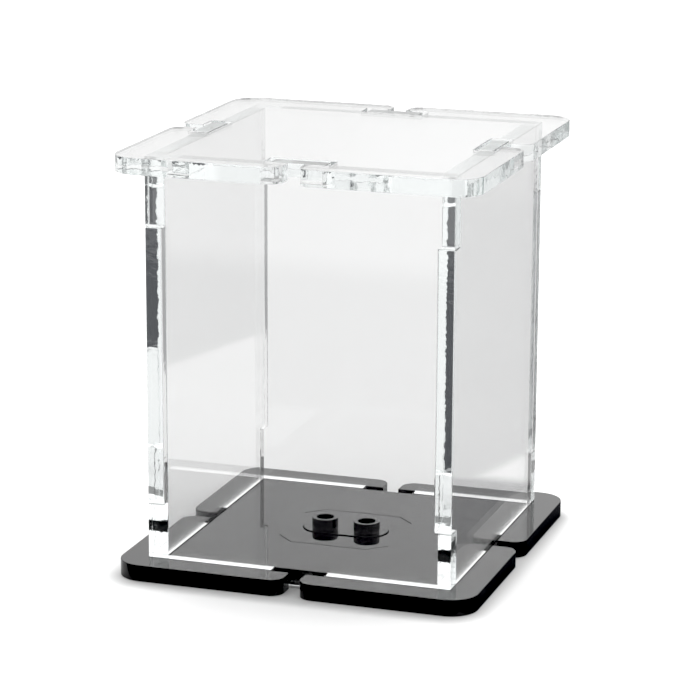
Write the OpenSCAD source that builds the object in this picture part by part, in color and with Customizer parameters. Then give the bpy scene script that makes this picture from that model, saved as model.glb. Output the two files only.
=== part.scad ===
// Slot-together display case for one small brick-built figure, in millimetres.
// Four clear walls stand by their tabs in a black base plate that carries two studs, and a clear lid
// of the base's outline drops over the tabs at the top. The walls lock to each other with corner
// fingers. Every panel is cut from flat sheet; the stud plate is moulded.
// Origin: middle of the base's underside. +Z up, the front wall faces -Y.

/* [Inside of the case] */
// Clear width between the left and right walls
inner_w = 50; // [36:1:160]
// Clear depth between the front and back walls
inner_d = 50; // [36:1:160]
// Height of the walls between the base and the lid
inner_h = 70; // [40:1:240]

/* [Sheet] */
// Thickness of the four walls
wall_t = 3; // [2:0.5:6]
// Thickness of the base plate
base_t = 3; // [2.5:0.5:8]
// Thickness of the lid
lid_t = 3; // [2:0.5:8]

/* [Base and lid outline] */
// How far the base and the lid stand out past the walls
overhang = 5; // [4:0.5:20]
// Corner radius of the base and the lid
plate_corner_r = 5; // [0.5:0.5:10]
// Width of the notch that opens from each slot to the plate's edge
notch_w = 3; // [1:0.5:6]
// Radius that rounds both sides of a notch's mouth
notch_mouth_r = 2.5; // [0.5:0.5:3.5]

/* [Tabs and fingers] */
// Length of the tab in the middle of each wall's foot and head
tab_len = 10; // [8:1:24]
// How far a tab stops short of the plate's outer face
tab_recess = 0.1; // [0:0.05:0.5]
// Height of the fingers at the walls' four corners
finger_h = 10; // [4:1:18]
// Gap at each face where two walls' fingers meet
finger_gap = 0.05; // [0:0.05:0.3]

/* [Slots] */
// Gap between a tab and the base slot, all round
base_slot_gap = 0.1; // [0.05:0.05:0.3]
// Gap between a tab and the lid slot, at each end
lid_slot_end_gap = 1; // [0.1:0.1:2]
// Gap between a tab and the lid slot, at each face
lid_slot_face_gap = 0.5; // [0.1:0.1:1]

/* [Stud plate] */
// Distance between the two studs
stud_pitch = 8; // [6:0.5:14]
// Outer diameter of a stud
stud_d = 4.8; // [4:0.1:6]
// Bore down the middle of a stud
stud_bore_d = 3.2; // [2:0.1:3.6]
// Height of a stud above the stud plate
stud_h = 1.8; // [1:0.1:4]
// Width of the stud plate, whose ends are round
stud_plate_w = 7.8; // [7:0.1:12]
// How far the stud plate stands above the base
stud_plate_proud = 0.2; // [0.1:0.1:2]
// Side wall of the stud plate, round its hollow underside
stud_plate_wall = 1.5; // [1:0.1:1.6]
// Thickness of the stud plate over its hollow underside
stud_plate_roof = 1.2; // [0.8:0.1:2]
// Diameter of the post between the two sockets underneath
socket_post_d = 3.2; // [1:0.1:4]
// Gap between the stud plate and its cut-out in the base
stud_plate_gap = 0.15; // [0.05:0.05:0.4]

/* [Engraved guide lines] */
// Distance from the middle to the front and back lines, and to the tips of their ends
guide_reach = 10.2; // [8:0.1:16]
// Size of the slanted ends of each line
guide_slant = 3; // [1:0.5:6]
// Width of an engraved line
guide_line_w = 0.2; // [0.1:0.05:1]
// Diameter of the dot at each tip
guide_dot_d = 0.4; // [0.1:0.05:1.5]
// Depth of the engraving
guide_depth = 0.1; // [0.05:0.05:1]

/* [Hidden] */
$fn = 96;
cut_past = 1;
outer_w = inner_w + 2 * wall_t;
outer_d = inner_d + 2 * wall_t;
plate_w = outer_w + 2 * overhang;
plate_d = outer_d + 2 * overhang;
lid_z = base_t + inner_h;
tab_run = base_t + inner_h + lid_t - 2 * tab_recess;
stud_plate_h = base_t + stud_plate_proud;
socket_h = stud_plate_h - stud_plate_roof;
guide_corner = guide_reach - guide_slant;
// Each side of a plate: the turn from the front, and the distance to the wall's inner face
SIDES = [[0, inner_d / 2], [90, inner_w / 2], [180, inner_d / 2], [270, inner_w / 2]];
clear_acrylic = [0.82, 0.90, 0.92, 0.40];
black_acrylic = [0.03, 0.03, 0.03];

// Rectangle with round corners, centred
module rounded_rectangle(w, d, r) {
    union() {
        square([w - 2 * r, d], center = true);
        square([w, d - 2 * r], center = true);
        for (x = [-1, 1], y = [-1, 1])
            translate([x * (w / 2 - r), y * (d / 2 - r)])
                circle(r);
    }
}

// Strip with round ends, along X, whose end centres are pitch apart
module obround(pitch, r) {
    union() {
        square([pitch, 2 * r], center = true);
        for (x = [-1, 1])
            translate([x * pitch / 2, 0])
                circle(r);
    }
}

// Slot for one tab and the notch from it to the front edge, at y = -edge
module slot_and_notch(inner, edge, end_gap, face_gap) {
    middle = inner + wall_t / 2;
    translate([0, -middle])
        square([tab_len + 2 * end_gap, wall_t + 2 * face_gap], center = true);
    translate([-notch_w / 2, -edge - cut_past])
        square([notch_w, edge - middle + cut_past]);
    for (x = [-1, 1])
        translate([x * notch_w / 2, -edge])
            difference() {
                square(2 * notch_mouth_r, center = true);
                translate([x * notch_mouth_r, notch_mouth_r])
                    circle(notch_mouth_r);
                translate([x * (notch_mouth_r + cut_past), 0])
                    square([2 * cut_past, 4 * notch_mouth_r], center = true);
                translate([0, notch_mouth_r + cut_past])
                    square([4 * notch_mouth_r, 2 * cut_past], center = true);
            }
}

// Outline shared by the base and the lid, with the four slots and notches cut
module plate_outline(end_gap, face_gap) {
    difference() {
        rounded_rectangle(plate_w, plate_d, plate_corner_r);
        for (side = SIDES)
            rotate(side[0])
                slot_and_notch(side[1], side[1] + wall_t + overhang, end_gap, face_gap);
    }
}

// One wall seen from outside: X across, Y up from the wall's foot.
// A wall either owns the middle of its corners or the fingers at the foot and the head.
module wall_outline(span, owns_middle) {
    core_w = span - 2 * finger_gap;
    full_w = span + 2 * wall_t;
    middle_y = finger_h + finger_gap;
    union() {
        translate([-core_w / 2, 0])
            square([core_w, inner_h]);
        if (owns_middle)
            translate([-full_w / 2, middle_y])
                square([full_w, inner_h - 2 * middle_y]);
        else
            for (y = [0, inner_h - finger_h])
                translate([-full_w / 2, y])
                    square([full_w, finger_h]);
        translate([-tab_len / 2, tab_recess - base_t])
            square([tab_len, tab_run]);
    }
}

// Wall that faces front or back, from y to y + wall_t
module cross_wall(y) {
    color(clear_acrylic)
        translate([0, y + wall_t, base_t])
            rotate([90, 0, 0])
                linear_extrude(wall_t)
                    wall_outline(inner_w, false);
}

// Wall that faces left or right, from x to x + wall_t
module side_wall(x) {
    color(clear_acrylic)
        translate([x, 0, base_t])
            rotate([90, 0, 90])
                linear_extrude(wall_t)
                    wall_outline(inner_d, true);
}

// Straight engraved stroke from a to b
module stroke(a, b) {
    run = b - a;
    translate(a)
        rotate(atan2(run[1], run[0]))
            translate([0, -guide_line_w / 2])
                square([norm(run), guide_line_w]);
}

// The line behind the studs: a long stroke with a slanted end and a dot at each tip
module guide_line() {
    stroke([-guide_corner, guide_reach], [guide_corner, guide_reach]);
    for (x = [-1, 1]) {
        tip = [x * guide_reach, guide_corner];
        corner = [x * guide_corner, guide_reach];
        stroke(corner, tip);
        translate(corner)
            circle(d = guide_line_w);
        translate(tip)
            circle(d = guide_dot_d);
    }
}

module base_plate() {
    color(black_acrylic)
        difference() {
            linear_extrude(base_t)
                difference() {
                    plate_outline(base_slot_gap, base_slot_gap);
                    obround(stud_pitch, stud_plate_w / 2 + stud_plate_gap);
                }
            translate([0, 0, base_t - guide_depth])
                linear_extrude(guide_depth + cut_past)
                    for (y = [0, 1])
                        mirror([0, y])
                            guide_line();
        }
}

module stud_plate() {
    color(black_acrylic)
        union() {
            difference() {
                union() {
                    linear_extrude(stud_plate_h)
                        obround(stud_pitch, stud_plate_w / 2);
                    for (x = [-1, 1])
                        translate([x * stud_pitch / 2, 0, socket_h])
                            cylinder(d = stud_d, h = stud_plate_roof + stud_h);
                }
                for (x = [-1, 1])
                    translate([x * stud_pitch / 2, 0, 0])
                        cylinder(d = stud_bore_d, h = stud_plate_h + stud_h + cut_past);
                translate([0, 0, -cut_past])
                    linear_extrude(socket_h + cut_past)
                        obround(stud_pitch, stud_plate_w / 2 - stud_plate_wall);
            }
            cylinder(d = socket_post_d, h = socket_h + stud_plate_roof / 2);
        }
}

module front_wall() {
    cross_wall(-inner_d / 2 - wall_t);
}

module back_wall() {
    cross_wall(inner_d / 2);
}

module left_wall() {
    side_wall(-inner_w / 2 - wall_t);
}

module right_wall() {
    side_wall(inner_w / 2);
}

module lid() {
    color(clear_acrylic)
        translate([0, 0, lid_z])
            linear_extrude(lid_t)
                plate_outline(lid_slot_end_gap, lid_slot_face_gap);
}

base_plate();
stud_plate();
front_wall();
back_wall();
left_wall();
right_wall();
lid();
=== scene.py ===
from math import radians

import bpy
from mathutils import Matrix, Vector


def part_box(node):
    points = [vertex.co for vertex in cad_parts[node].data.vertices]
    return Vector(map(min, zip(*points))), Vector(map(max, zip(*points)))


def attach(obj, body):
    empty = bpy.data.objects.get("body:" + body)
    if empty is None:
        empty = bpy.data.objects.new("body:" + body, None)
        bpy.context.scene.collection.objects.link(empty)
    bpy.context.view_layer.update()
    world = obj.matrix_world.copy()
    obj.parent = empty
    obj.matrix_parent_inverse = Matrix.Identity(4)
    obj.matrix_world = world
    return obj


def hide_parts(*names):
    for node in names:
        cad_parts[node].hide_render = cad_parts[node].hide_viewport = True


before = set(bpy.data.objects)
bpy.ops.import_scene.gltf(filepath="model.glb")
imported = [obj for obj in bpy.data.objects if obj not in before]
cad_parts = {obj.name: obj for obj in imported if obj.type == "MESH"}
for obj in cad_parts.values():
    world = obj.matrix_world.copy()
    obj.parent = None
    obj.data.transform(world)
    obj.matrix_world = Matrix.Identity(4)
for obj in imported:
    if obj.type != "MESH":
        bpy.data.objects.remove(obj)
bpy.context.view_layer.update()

mm = 0.001

# ---------------------------------------------------------------------------------------------------
# The base plate: 3 mm black cast acrylic, laser cut with four tab slots, each with a notch to the edge.
# The round-ended opening in the middle takes the stud plate, and two fine guide lines are engraved
# round it. Its faces keep the sheet's polish; its cut edges show the laser's fine upright lines.
# ---------------------------------------------------------------------------------------------------
base_low, base_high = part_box("base_plate")
wall_outer, wall_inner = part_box("front_wall")[0].y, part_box("front_wall")[1].y
tab_half = 5 * mm
half_notch = 1.5 * mm
mouth_round = 2.5 * mm
corner_round = 5 * mm
tab_gap = 0.1 * mm
opening_width, opening_depth = 16.1 * mm, 8.1 * mm
edge_break = 0.1 * mm


def blank(name, low, high):
    """A rectangular block from one corner to the other."""
    bpy.ops.object.select_all(action="DESELECT")
    bpy.ops.mesh.primitive_cube_add(size=1, location=(Vector(low) + Vector(high)) / 2)
    block = bpy.context.object
    block.name = block.data.name = name
    block.scale = Vector(high) - Vector(low)
    bpy.ops.object.transform_apply(location=True, rotation=True, scale=True)
    return block


def rod(name, middle, radius, bottom, top):
    """An upright round bar."""
    bpy.ops.object.select_all(action="DESELECT")
    bpy.ops.mesh.primitive_cylinder_add(
        vertices=72, radius=radius, depth=top - bottom, location=(*middle, (bottom + top) / 2)
    )
    bar = bpy.context.object
    bar.name = bar.data.name = name
    bpy.ops.object.transform_apply(location=True, rotation=True, scale=True)
    return bar


def pick(piece, kind, wanted):
    """Opens the piece for editing with only the wanted faces or edges picked."""
    bpy.ops.object.select_all(action="DESELECT")
    piece.select_set(True)
    bpy.context.view_layer.objects.active = piece
    bpy.ops.object.mode_set(mode="EDIT")
    bpy.ops.mesh.select_mode(type=kind)
    bpy.ops.mesh.select_all(action="DESELECT")
    bpy.ops.object.mode_set(mode="OBJECT")
    for part in piece.data.polygons if kind == "FACE" else piece.data.edges:
        part.select = wanted(part)
    bpy.ops.object.mode_set(mode="EDIT")


def round_uprights(piece, spots, radius, steps):
    """Rounds the upright edges that stand at these points of the outline."""
    points = piece.data.vertices

    def upright(edge):
        a, b = (points[i].co.xy for i in edge.vertices)
        near = any((a - Vector(spot)).length < 0.01 * mm for spot in spots)
        return near and (a - b).length < 0.01 * mm

    pick(piece, "EDGE", upright)
    bpy.ops.mesh.bevel(offset=radius, segments=steps, profile=0.5, affect="EDGES", clamp_overlap=False)
    bpy.ops.mesh.select_all(action="SELECT")
    bpy.ops.mesh.remove_doubles(threshold=0.004 * mm)
    bpy.ops.object.mode_set(mode="OBJECT")


def combine(piece, tool, how):
    """Cuts the tool out of the piece, or adds it on, and throws the tool away."""
    bpy.ops.object.select_all(action="DESELECT")
    piece.select_set(True)
    bpy.context.view_layer.objects.active = piece
    step = piece.modifiers.new("combine", "BOOLEAN")
    step.operation = how
    step.solver = "EXACT"
    step.object = tool
    bpy.ops.object.modifier_apply(modifier=step.name)
    bpy.data.meshes.remove(tool.data)


def round_ended(name, width, depth, bottom, top):
    """A block along X with round ends."""
    block = blank(name, (-width / 2, -depth / 2, bottom), (width / 2, depth / 2, top))
    corners = [(x * width / 2, y * depth / 2) for x in (-1, 1) for y in (-1, 1)]
    round_uprights(block, corners, depth / 2 - 0.001 * mm, 24)
    return block


def plate_blank(name, low, high, end_gap, face_gap):
    """The outline that the base and the lid share: slots, notches and round corners, by quarter turns."""
    plate = blank(name, low, high)
    reach = high.x
    slot = (tab_half + end_gap, wall_outer - face_gap, wall_inner + face_gap)
    mouths = []
    for quarter in range(4):
        turn = Matrix.Rotation(radians(90 * quarter), 3, "Z")
        for side, near, far in ((slot[0], slot[1], slot[2]), (half_notch, -reach - mm, wall_outer)):
            ends = [turn @ Vector((x, y, 0)) for x in (-side, side) for y in (near, far)]
            low_end = Vector((min(e.x for e in ends), min(e.y for e in ends), low.z - mm))
            high_end = Vector((max(e.x for e in ends), max(e.y for e in ends), high.z + mm))
            combine(plate, blank("slot_cut", low_end, high_end), "DIFFERENCE")
        mouths += [(turn @ Vector((x, -reach, 0))).xy for x in (-half_notch, half_notch)]
    corners = [(x * reach, y * reach) for x in (-1, 1) for y in (-1, 1)]
    round_uprights(plate, corners, corner_round, 16)
    round_uprights(plate, mouths, mouth_round, 12)
    return plate


def break_edges(piece, width):
    """Takes the sharpness off every edge, and keeps the flat faces flat."""
    pick(piece, "FACE", lambda face: True)
    bpy.ops.mesh.dissolve_limited(angle_limit=radians(0.5))
    bpy.ops.object.mode_set(mode="OBJECT")
    rounding = piece.modifiers.new("edge_break", "BEVEL")
    rounding.width = width
    rounding.segments = 3
    rounding.limit_method = "ANGLE"
    rounding.angle_limit = radians(40)
    bpy.ops.object.modifier_apply(modifier=rounding.name)


def finish_faces(piece):
    """Shades curved faces smooth and leaves flat ones flat."""
    bpy.ops.object.select_all(action="DESELECT")
    piece.select_set(True)
    bpy.context.view_layer.objects.active = piece
    bpy.ops.object.shade_smooth_by_angle(angle=radians(40))
    even = piece.modifiers.new("even", "WEIGHTED_NORMAL")
    even.keep_sharp = True
    bpy.ops.object.modifier_apply(modifier=even.name)


base = plate_blank("base_sheet", base_low, base_high, tab_gap, tab_gap)
opening = round_ended("opening_cut", opening_width, opening_depth, base_low.z - mm, base_high.z + mm)
combine(base, opening, "DIFFERENCE")
break_edges(base, edge_break)

line_reach = 10.2 * mm
line_bend = 7.2 * mm
line_half = 0.1 * mm
line_depth = 0.1 * mm
line_floor = base_high.z - line_depth
for side in (-1, 1):
    stroke = blank(
        "line_cut",
        (-line_bend, side * line_reach - line_half, line_floor),
        (line_bend, side * line_reach + line_half, base_high.z + mm),
    )
    combine(base, stroke, "DIFFERENCE")
    for end in (-1, 1):
        bend = Vector((end * line_bend, side * line_reach))
        tip = Vector((end * line_reach, side * line_bend))
        run = (tip - bend).length / 2
        slant = blank("slant_cut", (-run, -line_half, line_floor), (run, line_half, base_high.z + mm))
        slant.rotation_euler.z = radians(-45 * end * side)
        slant.location.xy = (bend + tip) / 2
        bpy.ops.object.transform_apply(location=True, rotation=True, scale=True)
        combine(base, slant, "DIFFERENCE")
        combine(base, rod("bend_cut", bend, line_half, line_floor, base_high.z + mm), "DIFFERENCE")
        combine(base, rod("dot_cut", tip, 2 * line_half, line_floor, base_high.z + mm), "DIFFERENCE")
finish_faces(base)


def node(tree, kind, place, values=None, **settings):
    """Adds a node, with its plain values and settings."""
    made = tree.nodes.new(kind)
    made.location = place
    for key, value in settings.items():
        setattr(made, key, value)
    for key, value in (values or {}).items():
        made.inputs[key].default_value = value
    return made


def new_group(name, inputs, outputs):
    """An empty shader node group with named sockets."""
    group = bpy.data.node_groups.new(name, "ShaderNodeTree")
    for label, kind, value in inputs:
        socket = group.interface.new_socket(label, in_out="INPUT", socket_type=kind)
        if value is not None:
            socket.default_value = value
    for label in outputs:
        group.interface.new_socket(label, in_out="OUTPUT", socket_type="NodeSocketFloat")
    return group, node(group, "NodeGroupInput", (-900, 0)), node(group, "NodeGroupOutput", (700, 0))


# What the laser leaves on a cut edge: fine lines across the sheet's thickness, and a slow ripple along it.
cut_lines, given, result = new_group(
    "laser_cut_lines",
    [
        ("Along", "NodeSocketVector", None),
        ("Wave", "NodeSocketVector", None),
        ("Ripple", "NodeSocketFloat", 1.0),
        ("Lines", "NodeSocketFloat", 0.3),
    ],
    ["Height", "Frost"],
)
join = cut_lines.links.new
ripple = node(
    cut_lines, "ShaderNodeTexNoise", (-650, 200), {"Scale": 1000.0, "Detail": 1.0, "Roughness": 0.4}
)
fine = node(cut_lines, "ShaderNodeTexNoise", (-650, -50), {"Scale": 3800.0, "Detail": 2.0, "Roughness": 0.6})
patch = node(cut_lines, "ShaderNodeTexNoise", (-650, -300), {"Scale": 260.0, "Detail": 3.0, "Roughness": 0.5})
join(given.outputs["Wave"], ripple.inputs["Vector"])
for texture in (fine, patch):
    join(given.outputs["Along"], texture.inputs["Vector"])
slow = node(cut_lines, "ShaderNodeMath", (-350, 200), operation="MULTIPLY")
join(ripple.outputs["Fac"], slow.inputs[0])
join(given.outputs["Ripple"], slow.inputs[1])
quick = node(cut_lines, "ShaderNodeMath", (-350, 0), operation="MULTIPLY")
join(fine.outputs["Fac"], quick.inputs[0])
join(given.outputs["Lines"], quick.inputs[1])
both = node(cut_lines, "ShaderNodeMath", (-100, 100), operation="ADD")
join(slow.outputs[0], both.inputs[0])
join(quick.outputs[0], both.inputs[1])
join(both.outputs[0], result.inputs["Height"])
spread = node(cut_lines, "ShaderNodeMapRange", (-100, -300), {"From Min": 0.45, "From Max": 0.75})
join(patch.outputs["Fac"], spread.inputs["Value"])
join(spread.outputs["Result"], result.inputs["Frost"])

# Handling marks on a polished sheet: hairlines a few millimetres long in two directions, and specks of dust.
marks, given, result = new_group(
    "sheet_marks",
    [
        ("Place", "NodeSocketVector", None),
        ("Scratched", "NodeSocketFloat", 0.5),
        ("Dusty", "NodeSocketFloat", 0.5),
    ],
    ["Hairline", "Dust"],
)
join = marks.links.new
hairs = []
for turn, length in ((25, 60.0), (-65, 85.0)):
    lie = node(
        marks,
        "ShaderNodeMapping",
        (-700, 300 - 5 * turn),
        {"Rotation": (0.3, 0.2, radians(turn)), "Scale": (1, 22, 22)},
    )
    join(given.outputs["Place"], lie.inputs["Vector"])
    hair = node(marks, "ShaderNodeTexNoise", (-500, 300 - 5 * turn), {"Scale": length, "Detail": 1.0})
    join(lie.outputs["Vector"], hair.inputs["Vector"])
    thin = node(
        marks, "ShaderNodeMapRange", (-300, 300 - 5 * turn), {"From Min": 0.705, "From Max": 0.76}, clamp=True
    )
    join(hair.outputs["Fac"], thin.inputs["Value"])
    hairs.append(thin)
either = node(marks, "ShaderNodeMath", (-100, 300), operation="MAXIMUM")
join(hairs[0].outputs["Result"], either.inputs[0])
join(hairs[1].outputs["Result"], either.inputs[1])
amount = node(marks, "ShaderNodeMath", (100, 300), operation="MULTIPLY")
join(either.outputs[0], amount.inputs[0])
join(given.outputs["Scratched"], amount.inputs[1])
join(amount.outputs[0], result.inputs["Hairline"])
speck = node(marks, "ShaderNodeTexVoronoi", (-500, -100), {"Scale": 420.0, "Randomness": 1.0}, feature="F1")
join(given.outputs["Place"], speck.inputs["Vector"])
small = node(marks, "ShaderNodeMapRange", (-300, -100), {"From Min": 0.07, "From Max": 0.03})
join(speck.outputs["Distance"], small.inputs["Value"])
here = node(marks, "ShaderNodeTexNoise", (-500, -350), {"Scale": 55.0, "Detail": 2.0})
join(given.outputs["Place"], here.inputs["Vector"])
gather = node(marks, "ShaderNodeMapRange", (-300, -350), {"From Min": 0.48, "From Max": 0.68})
join(here.outputs["Fac"], gather.inputs["Value"])
fall = node(marks, "ShaderNodeMath", (-100, -150), operation="MULTIPLY")
join(small.outputs["Result"], fall.inputs[0])
join(gather.outputs["Result"], fall.inputs[1])
level = node(marks, "ShaderNodeMath", (100, -150), operation="MULTIPLY")
join(fall.outputs[0], level.inputs[0])
join(given.outputs["Dusty"], level.inputs[1])
join(level.outputs[0], result.inputs["Dust"])


def group_node(tree, group, place, values=None):
    """Places a shared group in a material with this material's own amounts."""
    placed = node(tree, "ShaderNodeGroup", place, node_tree=group)
    for key, value in (values or {}).items():
        placed.inputs[key].default_value = value
    return placed


def new_finish(name, values):
    """A material with one Principled shader and its plain values."""
    finish = bpy.data.materials.new(name)
    finish.use_nodes = True
    tree = finish.node_tree
    tree.nodes.clear()
    shader = node(tree, "ShaderNodeBsdfPrincipled", (600, 0), values)
    out = node(tree, "ShaderNodeOutputMaterial", (900, 0))
    tree.links.new(shader.outputs["BSDF"], out.inputs["Surface"])
    return finish, tree, shader, out


def chain(tree, operation, place, *parts):
    """A Math node fed by outputs and plain numbers in order."""
    made = node(tree, "ShaderNodeMath", place, operation=operation)
    for slot, part in enumerate(parts):
        if isinstance(part, (int, float)):
            made.inputs[slot].default_value = part
        else:
            tree.links.new(part, made.inputs[slot])
    return made.outputs[0]


def ramp(tree, value, place, span, levels):
    """A soft step from one level to another while the value crosses the span."""
    made = node(
        tree,
        "ShaderNodeMapRange",
        place,
        {"From Min": span[0], "From Max": span[1], "To Min": levels[0], "To Max": levels[1]},
        interpolation_type="SMOOTHSTEP",
    )
    tree.links.new(value, made.inputs["Value"])
    return made.outputs["Result"]


def sheet_finish(name, values, through, face_rough, edge_rough, ripple_height):
    """Cast acrylic: polished faces across one axis, laser-cut edges all round."""
    finish, tree, shader, out = new_finish(name, values)
    join = tree.links.new
    place = node(tree, "ShaderNodeTexCoord", (-1500, 0))
    facing = node(tree, "ShaderNodeSeparateXYZ", (-1300, 400))
    join(place.outputs["Normal"], facing.inputs[0])
    across = chain(tree, "ABSOLUTE", (-1100, 400), facing.outputs[through])
    edge = ramp(tree, across, (-900, 400), (0.6, 0.95), (1.0, 0.0))
    lines = group_node(tree, cut_lines, (-1000, 100), {"Ripple": 1.0, "Lines": 0.12})
    for socket, stretch, height in (("Along", 0.04, 150), ("Wave", 0.5, -50)):
        drawn = node(tree, "ShaderNodeMapping", (-1250, height))
        drawn.inputs["Scale"].default_value = [stretch if axis == through else 1.0 for axis in range(3)]
        join(place.outputs["Object"], drawn.inputs["Vector"])
        join(drawn.outputs["Vector"], lines.inputs[socket])
    handled = group_node(tree, marks, (-1000, -250), {"Scratched": 0.6, "Dusty": 0.8})
    join(place.outputs["Object"], handled.inputs["Place"])
    rough = node(tree, "ShaderNodeMix", (-150, 50), data_type="FLOAT")
    join(edge, rough.inputs["Factor"])
    join(ramp(tree, handled.outputs["Hairline"], (-500, -100), (0.0, 1.0), face_rough), rough.inputs["A"])
    join(ramp(tree, lines.outputs["Frost"], (-500, 150), (0.0, 1.0), edge_rough), rough.inputs["B"])
    join(rough.outputs["Result"], shader.inputs["Roughness"])
    bump = node(tree, "ShaderNodeBump", (200, -250), {"Strength": 1.0, "Distance": ripple_height})
    join(chain(tree, "MULTIPLY", (-150, -250), lines.outputs["Height"], edge), bump.inputs["Height"])
    join(bump.outputs["Normal"], shader.inputs["Normal"])
    return finish, tree, shader, out, handled, facing


black_acrylic, tree, shader, out, handled, facing = sheet_finish(
    "black_acrylic", {"IOR": 1.49}, 2, (0.02, 0.12), (0.05, 0.14), 0.004 * mm
)
where = node(tree, "ShaderNodeTexCoord", (-1500, -600)).outputs["Object"]
height = node(tree, "ShaderNodeSeparateXYZ", (-1300, -600))
tree.links.new(where, height.inputs[0])
groove = (base_high.z - 0.06 * mm, base_high.z - 0.03 * mm)
sunk = ramp(tree, height.outputs[2], (-1100, -600), groove, (0.9, 0.0))
from_middle = node(tree, "ShaderNodeVectorMath", (-1300, -800), operation="LENGTH")
tree.links.new(where, from_middle.inputs[0])
inside = ramp(tree, from_middle.outputs["Value"], (-1100, -800), (15 * mm, 16 * mm), (1.0, 0.0))
engraved = chain(tree, "MULTIPLY", (-900, -700), sunk, inside)
polish = shader.inputs["Roughness"].links[0].from_socket
tree.links.new(chain(tree, "MAXIMUM", (100, 100), polish, engraved), shader.inputs["Roughness"])
tone = node(
    tree,
    "ShaderNodeMix",
    (200, 250),
    {"A": (0.0025, 0.0025, 0.003, 1), "B": (0.09, 0.088, 0.085, 1)},
    data_type="RGBA",
)
tree.links.new(handled.outputs["Dust"], tone.inputs["Factor"])
tree.links.new(tone.outputs["Result"], shader.inputs["Base Color"])
base.data.materials.append(black_acrylic)
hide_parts("base_plate")
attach(base, "base")

# ---------------------------------------------------------------------------------------------------
# The stud plate: one black moulded plate with two hollow studs, pressed into the base's opening from
# below. Its edges have the small round of a mould, and a post stands between its two sockets underneath.
# ---------------------------------------------------------------------------------------------------
stud_low, stud_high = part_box("stud_plate")
plate_top = base_high.z + 0.2 * mm
socket_top = plate_top - 1.2 * mm
stud_middles = [(-4 * mm, 0), (4 * mm, 0)]
stud_radius, bore_radius, post_radius = 2.4 * mm, 1.6 * mm, 1.6 * mm
side_wall = 1.5 * mm
mould_round = 0.15 * mm
into_roof = socket_top + 0.5 * mm

stud_span = stud_high - stud_low
studs = round_ended("stud_moulding", stud_span.x, stud_span.y, stud_low.z, plate_top)
pick(studs, "FACE", lambda face: face.normal.z < -0.9)
bpy.ops.mesh.inset(thickness=side_wall)
bpy.ops.mesh.extrude_region_move(TRANSFORM_OT_translate={"value": (0, 0, socket_top - stud_low.z)})
bpy.ops.object.mode_set(mode="OBJECT")
combine(studs, rod("socket_post", (0, 0), post_radius, stud_low.z, into_roof), "UNION")
for middle in stud_middles:
    combine(studs, rod("stud", middle, stud_radius, into_roof, stud_high.z), "UNION")
for middle in stud_middles:
    combine(studs, rod("bore_cut", middle, bore_radius, socket_top - mm, stud_high.z + mm), "DIFFERENCE")
break_edges(studs, mould_round)
finish_faces(studs)

moulded, tree, shader, out = new_finish("black_moulded", {"IOR": 1.49})
join = tree.links.new
place = node(tree, "ShaderNodeTexCoord", (-1100, 0))
skin = node(tree, "ShaderNodeTexNoise", (-800, 0), {"Scale": 1500.0, "Detail": 3.0, "Roughness": 0.55})
join(place.outputs["Object"], skin.inputs["Vector"])
gloss = ramp(tree, skin.outputs["Fac"], (-500, 100), (0.0, 1.0), (0.03, 0.08))
level = node(tree, "ShaderNodeSeparateXYZ", (-800, 300))
join(place.outputs["Object"], level.inputs[0])
rim = (stud_high.z - 0.4 * mm, stud_high.z - 0.1 * mm)
worn = ramp(tree, level.outputs[2], (-500, 300), rim, (0.0, 0.12))
join(chain(tree, "MAXIMUM", (-200, 200), gloss, worn), shader.inputs["Roughness"])
bump = node(tree, "ShaderNodeBump", (200, -250), {"Strength": 1.0, "Distance": 0.0008 * mm})
join(skin.outputs["Fac"], bump.inputs["Height"])
join(bump.outputs["Normal"], shader.inputs["Normal"])
handled = group_node(tree, marks, (-800, -300), {"Scratched": 0.4, "Dusty": 1.0})
join(place.outputs["Object"], handled.inputs["Place"])
tone = node(
    tree,
    "ShaderNodeMix",
    (200, 250),
    {"A": (0.003, 0.003, 0.0035, 1), "B": (0.08, 0.08, 0.08, 1)},
    data_type="RGBA",
)
join(handled.outputs["Dust"], tone.inputs["Factor"])
join(tone.outputs["Result"], shader.inputs["Base Color"])
studs.data.materials.append(moulded)
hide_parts("stud_plate")
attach(studs, "base")

# ---------------------------------------------------------------------------------------------------
# The four walls: 3 mm clear cast acrylic, laser cut. The front and back walls own the corner fingers at
# the foot and the head, the left and right walls own the corners between. A tab in the middle of each
# foot stands in its slot in the base, and the same tab at the head reaches up through the lid.
# ---------------------------------------------------------------------------------------------------
hair_gap = 0.03 * mm
finger_gap = 0.05 * mm
finger_height = 10 * mm
wall_edge_break = 0.15 * mm
lid_low, lid_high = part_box("lid")
foot = base_high.z + hair_gap
head = lid_low.z - hair_gap
finger_top = base_high.z + finger_height
finger_under = lid_low.z - finger_height


def split(piece, point, normal):
    """Scores the whole piece across at this point."""
    pick(piece, "FACE", lambda face: True)
    bpy.ops.mesh.bisect(plane_co=point, plane_no=normal)
    bpy.ops.object.mode_set(mode="OBJECT")


def pull(piece, wanted, move):
    """Draws the wanted faces out of the piece."""
    pick(piece, "FACE", wanted)
    bpy.ops.mesh.extrude_region_move(TRANSFORM_OT_translate={"value": move})
    bpy.ops.object.mode_set(mode="OBJECT")


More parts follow.
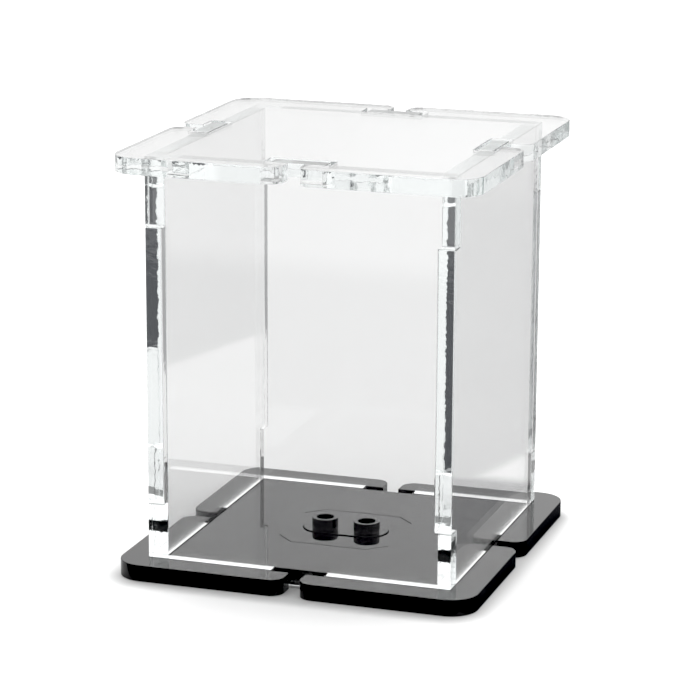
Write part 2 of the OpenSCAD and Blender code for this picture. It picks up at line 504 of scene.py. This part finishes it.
def wall_panel(name, low, high, across, lower, upper, owns_middle):
    """One wall: a core, its corner fingers or corner middle, and its two tabs. across is 0 for X, 1 for Y."""
    core_half = -wall_inner - finger_gap
    full_half = -wall_outer
    core_low, core_high = Vector(low), Vector(high)
    core_low[across], core_high[across] = -core_half, core_half
    core_low.z, core_high.z = foot, head
    panel = blank(name, core_low, core_high)
    unit = Vector([1.0 if axis == across else 0.0 for axis in range(3)])
    for level in (lower, upper):
        split(panel, (0, 0, level), (0, 0, 1))
    for side in (-tab_half, tab_half):
        split(panel, unit * side, unit)
    for way in (-1, 1):
        pull(
            panel,
            lambda face: face.normal[across] * way > 0.9 and (lower < face.center.z < upper) == owns_middle,
            unit * way * (full_half - core_half),
        )
    for way, end in ((-1, low.z), (1, high.z)):
        start = foot if way < 0 else head
        pull(
            panel,
            lambda face: face.normal.z * way > 0.9
            and abs(face.center[across]) < tab_half
            and abs(face.center.z - start) < 0.01 * mm,
            Vector((0, 0, end - start)),
        )
    break_edges(panel, wall_edge_break)
    finish_faces(panel)
    return panel


def copy_across(panel, name, move):
    """The same cut sheet again, with a mesh of its own, on the opposite side."""
    bpy.ops.object.select_all(action="DESELECT")
    twin = panel.copy()
    twin.data = panel.data.copy()
    twin.name = twin.data.name = name
    bpy.context.collection.objects.link(twin)
    twin.select_set(True)
    bpy.context.view_layer.objects.active = twin
    bpy.ops.transform.translate(value=move)
    bpy.ops.object.transform_apply(location=True, rotation=True, scale=True)
    return twin


front_box, left_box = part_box("front_wall"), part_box("left_wall")
front = wall_panel("front_sheet", *front_box, 0, finger_top, finger_under, False)
left = wall_panel("left_sheet", *left_box, 1, finger_top + finger_gap, finger_under - finger_gap, True)
back = copy_across(front, "back_sheet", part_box("back_wall")[0] - front_box[0])
right = copy_across(left, "right_sheet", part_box("right_wall")[0] - left_box[0])


def clear_acrylic(name, through):
    """Water-clear sheet with a breath of green in its depth; through is the axis it is 3 mm thick along.
    A standing sheet has a painted glow on its upward edges: they emit a little light, standing in for the
    light that the cut edges catch."""
    standing = through != 2
    finish, tree, shader, out, handled, facing = sheet_finish(
        name,
        {"IOR": 1.5, "Transmission Weight": 1.0, "Emission Strength": 0.13 if standing else 0.0},
        through,
        (0.0, 0.05),
        (0.0, 0.06),
        0.025 * mm,
    )
    # Painted glow: faces of a standing sheet that point upward emit a little light of their own, though they
    # are no lamp.
    if standing:
        painted_edge_glow = ramp(tree, facing.outputs[2], (-300, -600), (0.6, 0.95), (0.0, 1.0))
        tree.links.new(painted_edge_glow, shader.inputs["Emission Color"])
    tone = node(
        tree, "ShaderNodeMix", (200, 250), {"A": (1, 1, 1, 1), "B": (0.86, 0.86, 0.86, 1)}, data_type="RGBA"
    )
    tree.links.new(handled.outputs["Dust"], tone.inputs["Factor"])
    tree.links.new(tone.outputs["Result"], shader.inputs["Base Color"])
    depth = node(
        tree, "ShaderNodeVolumeAbsorption", (600, -500), {"Color": (0.86, 0.965, 0.955, 1), "Density": 4.5}
    )
    tree.links.new(depth.outputs["Volume"], out.inputs["Volume"])
    return finish


walls = [
    (front, "front_wall", 1),
    (back, "back_wall", 1),
    (left, "left_wall", 0),
    (right, "right_wall", 0),
]
wall_finishes = {1: clear_acrylic("clear_acrylic_front_back", 1), 0: clear_acrylic("clear_acrylic_sides", 0)}
for wall, cad_name, through in walls:
    wall.data.materials.append(wall_finishes[through])
    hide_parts(cad_name)
    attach(wall, "walls")

# ---------------------------------------------------------------------------------------------------
# The lid: 3 mm clear cast acrylic with the base's outline. Its slots are looser than the base's, so that
# it drops over the four tabs and lifts off again; only its own weight holds it.
# ---------------------------------------------------------------------------------------------------
slot_end_gap, slot_face_gap = 1 * mm, 0.5 * mm
lid = plate_blank("lid_sheet", lid_low, lid_high, slot_end_gap, slot_face_gap)
break_edges(lid, edge_break)
finish_faces(lid)
lid.data.materials.append(clear_acrylic("clear_acrylic_lid", 2))
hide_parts("lid")
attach(lid, "lid")

# ---------------------------------------------------------------------------------------------------
# The studio: a plain white floor that runs out of sight, a white surround with a soft box over the back,
# and the camera. For mirrored rays the floor is painted darker beside and in front of the case, a painted
# reflection that stands in for dark cards there, and a painted contact shadow lies on the floor round the
# base.
# ---------------------------------------------------------------------------------------------------
bpy.ops.object.select_all(action="DESELECT")
bpy.ops.mesh.primitive_plane_add(size=6, location=(0, 0, -0.02 * mm))
floor = bpy.context.object
floor.name = "floor"

paper = bpy.data.materials.new("floor_paper")
paper.use_nodes = True
tree = paper.node_tree
tree.nodes.clear()
matt = node(tree, "ShaderNodeBsdfDiffuse", (700, 0))
out = node(tree, "ShaderNodeOutputMaterial", (900, 0))
tree.links.new(matt.outputs[0], out.inputs["Surface"])
spot = node(tree, "ShaderNodeSeparateXYZ", (-900, 0))
ground = node(tree, "ShaderNodeTexCoord", (-1100, 0)).outputs["Object"]
tree.links.new(ground, spot.inputs[0])
path = node(tree, "ShaderNodeLightPath", (-900, 400))
slanted = chain(tree, "MULTIPLY_ADD", (-700, 0), spot.outputs[1], 0.26, spot.outputs[0])
beyond = ramp(tree, slanted, (-500, 0), (55 * mm, 59 * mm), (0.0, 1.0))
trapped = ramp(tree, path.outputs["Glossy Depth"], (-700, 700), (5.5, 6.5), (1.0, 0.0))
direct = chain(tree, "LESS_THAN", (-700, 500), path.outputs["Diffuse Depth"], 0.5)
direct = chain(tree, "MULTIPLY", (-500, 600), direct, trapped)
once = ramp(tree, path.outputs["Glossy Depth"], (-700, 300), (0.5, 1.0), (0.0, 0.58))
again = ramp(tree, path.outputs["Glossy Depth"], (-700, 100), (1.0, 1.5), (0.0, 0.42))
depth = chain(tree, "MULTIPLY", (-300, 300), chain(tree, "ADD", (-500, 300), once, again), direct)
aside = chain(tree, "MULTIPLY", (-100, 100), beyond, depth)
near = ramp(tree, spot.outputs[1], (-500, -200), (-34.5 * mm, -33 * mm), (1.0, 0.0))
far = ramp(tree, spot.outputs[1], (-500, -400), (-290 * mm, -250 * mm), (0.0, 1.0))
beside = ramp(tree, spot.outputs[0], (-500, -800), (32.6 * mm, 33.4 * mm), (0.0, 1.0))
abreast = ramp(tree, spot.outputs[1], (-500, -1000), (44 * mm, 52 * mm), (1.0, 0.0))
beside = chain(tree, "MULTIPLY", (-300, -800), beside, abreast)
ahead = chain(tree, "MULTIPLY", (-300, -300), near, far)
ahead = chain(tree, "MAXIMUM", (-200, -300), ahead, beside)
turned = chain(tree, "GREATER_THAN", (-500, -600), path.outputs["Glossy Depth"], 0.5)
ahead = chain(tree, "MULTIPLY", (-100, -300), ahead, chain(tree, "MULTIPLY", (-300, -600), turned, direct))
dark = chain(tree, "MAXIMUM", (100, 0), aside, ahead)
seen = node(
    tree,
    "ShaderNodeMix",
    (100, 300),
    {"A": (0.62, 0.62, 0.62, 1), "B": (0.98, 0.98, 0.98, 1)},
    data_type="RGBA",
)
tree.links.new(path.outputs["Is Camera Ray"], seen.inputs["Factor"])
# Painted reflection: for mirrored rays the floor in front of the case and to its right is painted near black,
# standing in for dark cards round the studio.
tone = node(tree, "ShaderNodeMix", (400, 100), {"B": (0.052, 0.053, 0.058, 1)}, data_type="RGBA")
tree.links.new(dark, tone.inputs["Factor"])
tree.links.new(seen.outputs["Result"], tone.inputs["A"])
# Painted contact shadow: the floor's colour is darkest at the base's edge and fades to full white a few
# millimetres out. The ring is shifted slightly toward the front, as if lit from behind.
leaning = node(tree, "ShaderNodeVectorMath", (-900, 1000), operation="ADD")
leaning.inputs[1].default_value = (-0.15 * mm, 1.2 * mm, 0)
tree.links.new(ground, leaning.inputs[0])
outward = node(tree, "ShaderNodeVectorMath", (-700, 1000), operation="ABSOLUTE")
tree.links.new(leaning.outputs[0], outward.inputs[0])
past = node(tree, "ShaderNodeVectorMath", (-500, 1000), operation="SUBTRACT")
past.inputs[1].default_value = (28 * mm, 28 * mm, 1)
tree.links.new(outward.outputs[0], past.inputs[0])
clear = node(tree, "ShaderNodeVectorMath", (-300, 1000), operation="MAXIMUM")
clear.inputs[1].default_value = (0, 0, 0)
tree.links.new(past.outputs[0], clear.inputs[0])
reach = node(tree, "ShaderNodeVectorMath", (-100, 1000), operation="LENGTH")
tree.links.new(clear.outputs[0], reach.inputs[0])
painted_contact_shadow = ramp(tree, reach.outputs["Value"], (100, 1000), (4.6 * mm, 8.6 * mm), (0.66, 1.0))
shadow_painted_floor = node(tree, "ShaderNodeMix", (550, 300), {"Factor": 1.0}, data_type="RGBA", blend_type="MULTIPLY")
tree.links.new(tone.outputs["Result"], shadow_painted_floor.inputs["A"])
tree.links.new(painted_contact_shadow, shadow_painted_floor.inputs["B"])
tree.links.new(shadow_painted_floor.outputs["Result"], matt.inputs["Color"])
floor.data.materials.append(paper)

studio = bpy.data.worlds.new("studio")
bpy.context.scene.world = studio
studio.use_nodes = True
tree = studio.node_tree
tree.nodes.clear()
out = node(tree, "ShaderNodeOutputWorld", (1100, 0))
glow = node(tree, "ShaderNodeBackground", (900, 0))
tree.links.new(glow.outputs[0], out.inputs["Surface"])
way = node(tree, "ShaderNodeTexCoord", (-900, 0)).outputs["Generated"]
path = node(tree, "ShaderNodeLightPath", (-900, -300))


def toward(direction, place):
    """How far a ray points toward this direction, from -1 to 1."""
    made = node(tree, "ShaderNodeVectorMath", place, operation="DOT_PRODUCT")
    made.inputs[1].default_value = Vector(direction).normalized()
    tree.links.new(way, made.inputs[0])
    return made.outputs["Value"]


soft_box = ramp(tree, toward((-0.16, 0.6, 0.75), (-700, 400)), (-500, 400), (0.1, 0.95), (0.62, 3.1))
split_way = node(tree, "ShaderNodeSeparateXYZ", (-700, 150))
tree.links.new(way, split_way.inputs[0])
rising = ramp(tree, split_way.outputs[2], (-500, 250), (0.17, 0.33), (1.12, 1.6))
sideways = ramp(tree, split_way.outputs[0], (-500, 100), (-0.42, -0.18), (0.96, 1.12))
behind = ramp(tree, split_way.outputs[1], (-500, -50), (-0.4, 0.2), (0.42, 1.0))
backdrop = chain(tree, "MULTIPLY", (-300, 150), rising, sideways)
backdrop = chain(tree, "MULTIPLY", (-100, 100), backdrop, behind)
ray_kinds = [path.outputs[kind] for kind in ("Is Camera Ray", "Is Glossy Ray", "Is Transmission Ray")]
looked = chain(tree, "MAXIMUM", (-700, -300), ray_kinds[0], ray_kinds[1])
looked = chain(tree, "MAXIMUM", (-500, -300), looked, ray_kinds[2])
unlit = chain(tree, "LESS_THAN", (-500, -500), path.outputs["Diffuse Depth"], 0.5)
looked = chain(tree, "MULTIPLY", (-300, -300), looked, unlit)
mirrored = chain(tree, "GREATER_THAN", (-500, -100), path.outputs["Glossy Depth"], 0.5)
plain = ramp(tree, path.outputs["Is Camera Ray"], (-300, -500), (0.0, 1.0), (0.96, 1.05))
view = node(tree, "ShaderNodeMix", (0, 0), data_type="FLOAT")
tree.links.new(mirrored, view.inputs["Factor"])
tree.links.new(plain, view.inputs["A"])
tree.links.new(backdrop, view.inputs["B"])
shown = node(tree, "ShaderNodeMix", (400, 0), data_type="FLOAT")
tree.links.new(looked, shown.inputs["Factor"])
tree.links.new(soft_box, shown.inputs["A"])
tree.links.new(view.outputs["Result"], shown.inputs["B"])
tree.links.new(shown.outputs["Result"], glow.inputs["Strength"])

scene = bpy.context.scene
scene.view_settings.view_transform = "Standard"
scene.view_settings.use_curve_mapping = True
scene.view_settings.curve_mapping.black_level = (0.012, 0.012, 0.012)
scene.view_settings.curve_mapping.update()
scene.cycles.max_bounces = 40
scene.cycles.glossy_bounces = 32
scene.cycles.transmission_bounces = 32
scene.cycles.diffuse_bounces = 3
scene.cycles.transparent_max_bounces = 16

camera = bpy.data.objects.new("camera", bpy.data.cameras.new("camera"))
scene.collection.objects.link(camera)
scene.camera = camera
camera.data.sensor_width = 36
camera.data.lens = 152.88
camera.data.clip_start = 0.01
camera.data.clip_end = 20
sight = Vector((-0.3044133, 0.91965623, -0.24812284))
right_hand = Vector((0.94893413, 0.31543569, 0.00493394))
upward = Vector((-0.08280433, 0.23395027, 0.96871601))
turned_to = Matrix((right_hand, upward, -sight)).transposed().to_4x4()
camera.matrix_world = Matrix.Translation((0.164045, -0.494807, 0.170159)) @ turned_to
